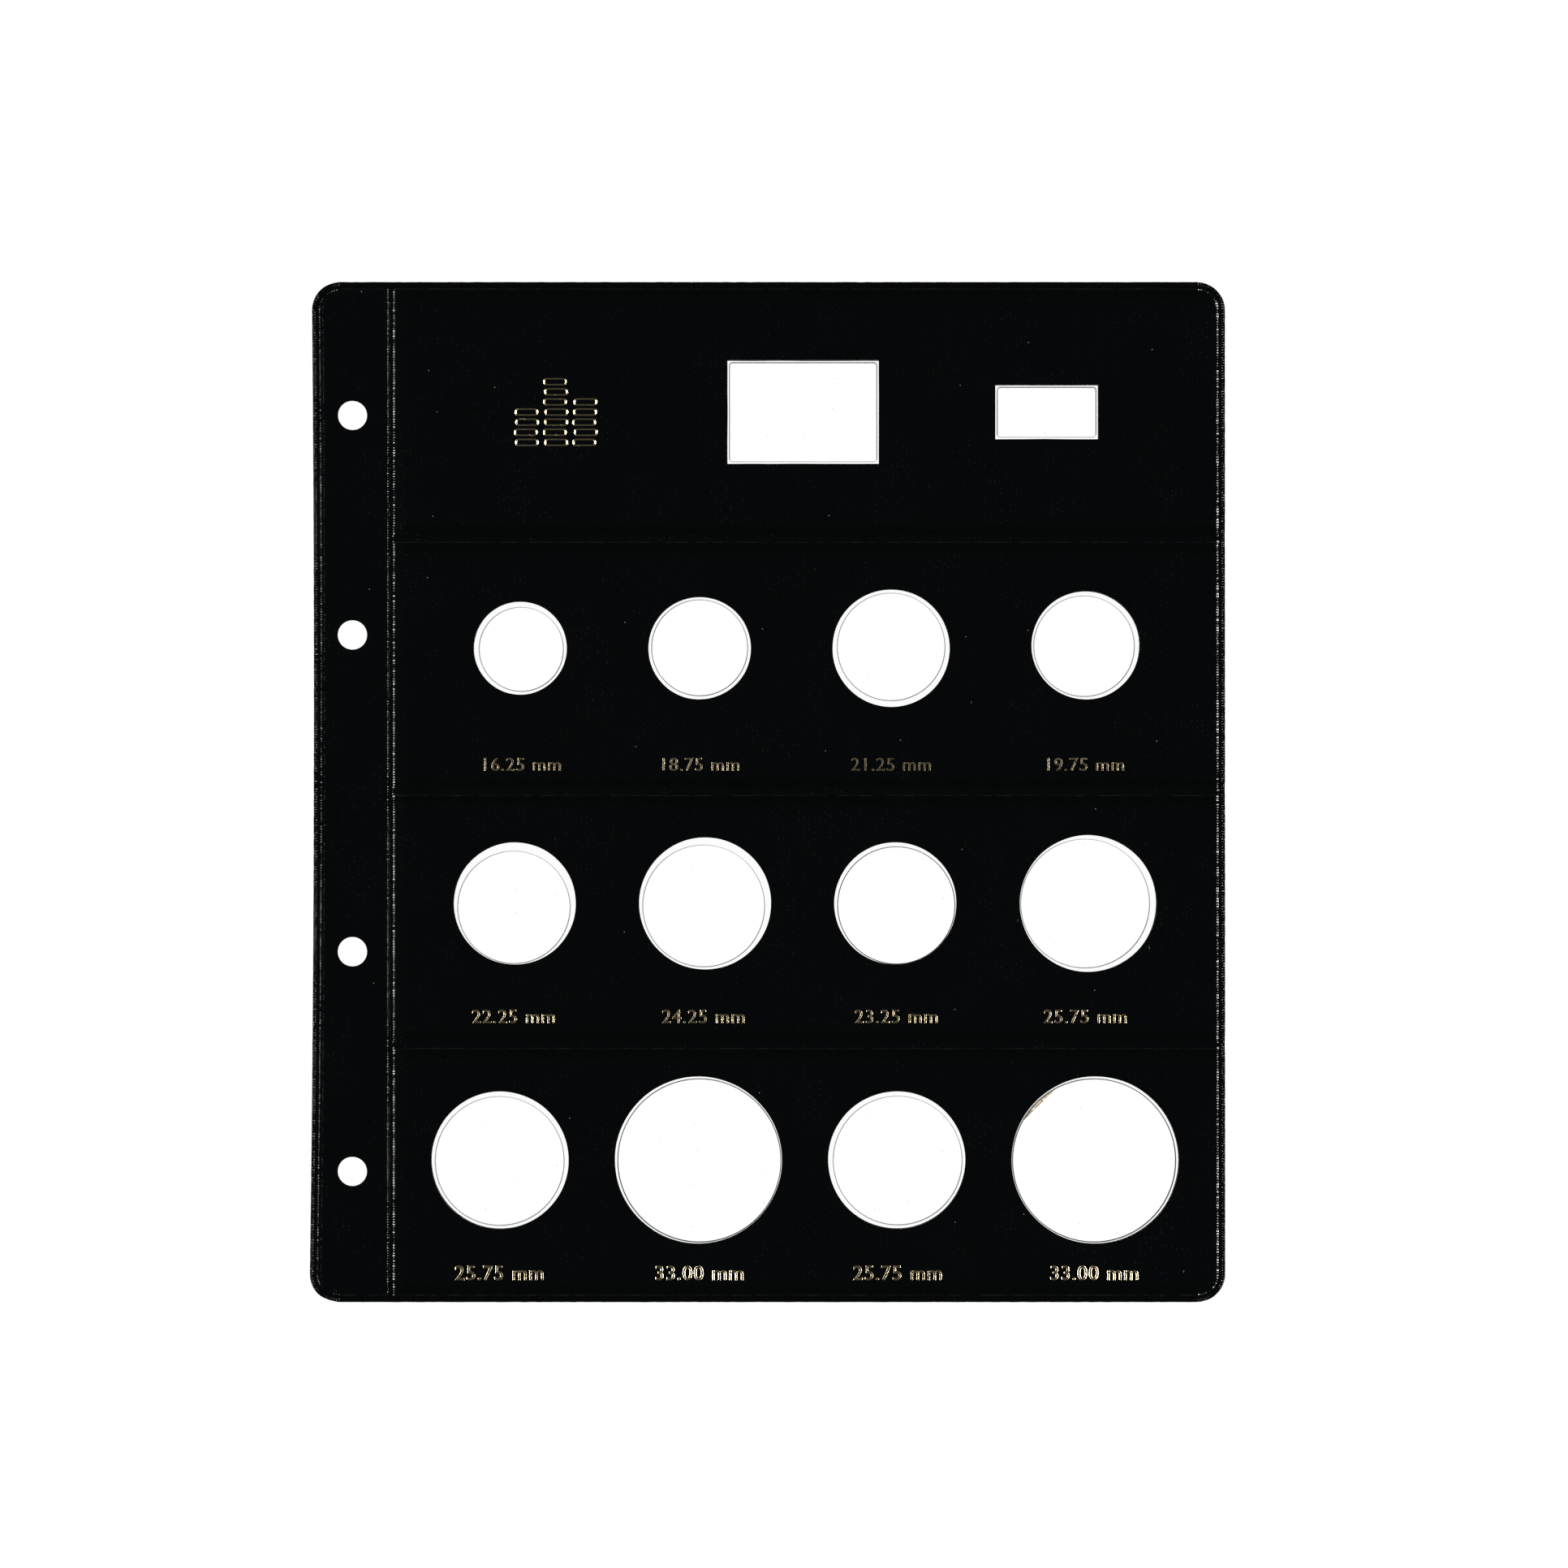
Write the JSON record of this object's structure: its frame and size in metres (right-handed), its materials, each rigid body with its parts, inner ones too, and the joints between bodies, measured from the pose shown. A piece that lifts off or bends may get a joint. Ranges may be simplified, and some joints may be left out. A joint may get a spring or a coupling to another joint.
{
  "type": "coin album page",
  "caption": "Ring-binder page for a coin set: a black welded sleeve with die-cut windows and clear films, and clear punched strips that slide out of its free edge.",
  "frame": {"origin": "middle of the page's outline, on the plane of the back panels, where it rests", "axes": "+X from the binding margin to the free edge, +Y towards the header row, +Z out of the front"},
  "size_m": [0.194, 0.217, 0.0038],
  "materials": {
    "black_vinyl": "fine grain, satin",
    "clear_film": "clear, smooth",
    "clear_strip": "clear, smooth"
  },
  "bodies": {
    "sleeve": {"front_cover": "black_vinyl", "back_cover": "black_vinyl", "front_wall_1": "black_vinyl", "back_wall_1": "black_vinyl", "front_wall_2": "black_vinyl", "back_wall_2": "black_vinyl", "front_wall_3": "black_vinyl", "back_wall_3": "black_vinyl", "front_wall_4": "black_vinyl", "back_wall_4": "black_vinyl", "front_panel_1": "black_vinyl", "back_panel_1": "black_vinyl", "front_panel_2": "black_vinyl", "back_panel_2": "black_vinyl", "front_panel_3": "black_vinyl", "back_panel_3": "black_vinyl", "front_panel_4": "black_vinyl", "back_panel_4": "black_vinyl", "front_film_1": "clear_film", "back_film_1": "clear_film", "front_film_2": "clear_film", "back_film_2": "clear_film", "front_film_3": "clear_film", "back_film_3": "clear_film", "front_film_4": "clear_film", "back_film_4": "clear_film"},
    "strip_1": {"pull_strip_1": "clear_strip"},
    "strip_2": {"pull_strip_2": "clear_strip"},
    "strip_3": {"pull_strip_3": "clear_strip"},
    "strip_4": {"pull_strip_4": "clear_strip"}
  },
  "joints": [
    {"name": "strip_1_slide", "type": "slide", "parent": "sleeve", "child": "strip_1", "axis": [1, 0, 0], "range_m": [0, 0.176]},
    {"name": "strip_2_slide", "type": "slide", "parent": "sleeve", "child": "strip_2", "axis": [1, 0, 0], "range_m": [0, 0.176]},
    {"name": "strip_3_slide", "type": "slide", "parent": "sleeve", "child": "strip_3", "axis": [1, 0, 0], "range_m": [0, 0.176]},
    {"name": "strip_4_slide", "type": "slide", "parent": "sleeve", "child": "strip_4", "axis": [1, 0, 0], "range_m": [0, 0.176]}
  ]
}
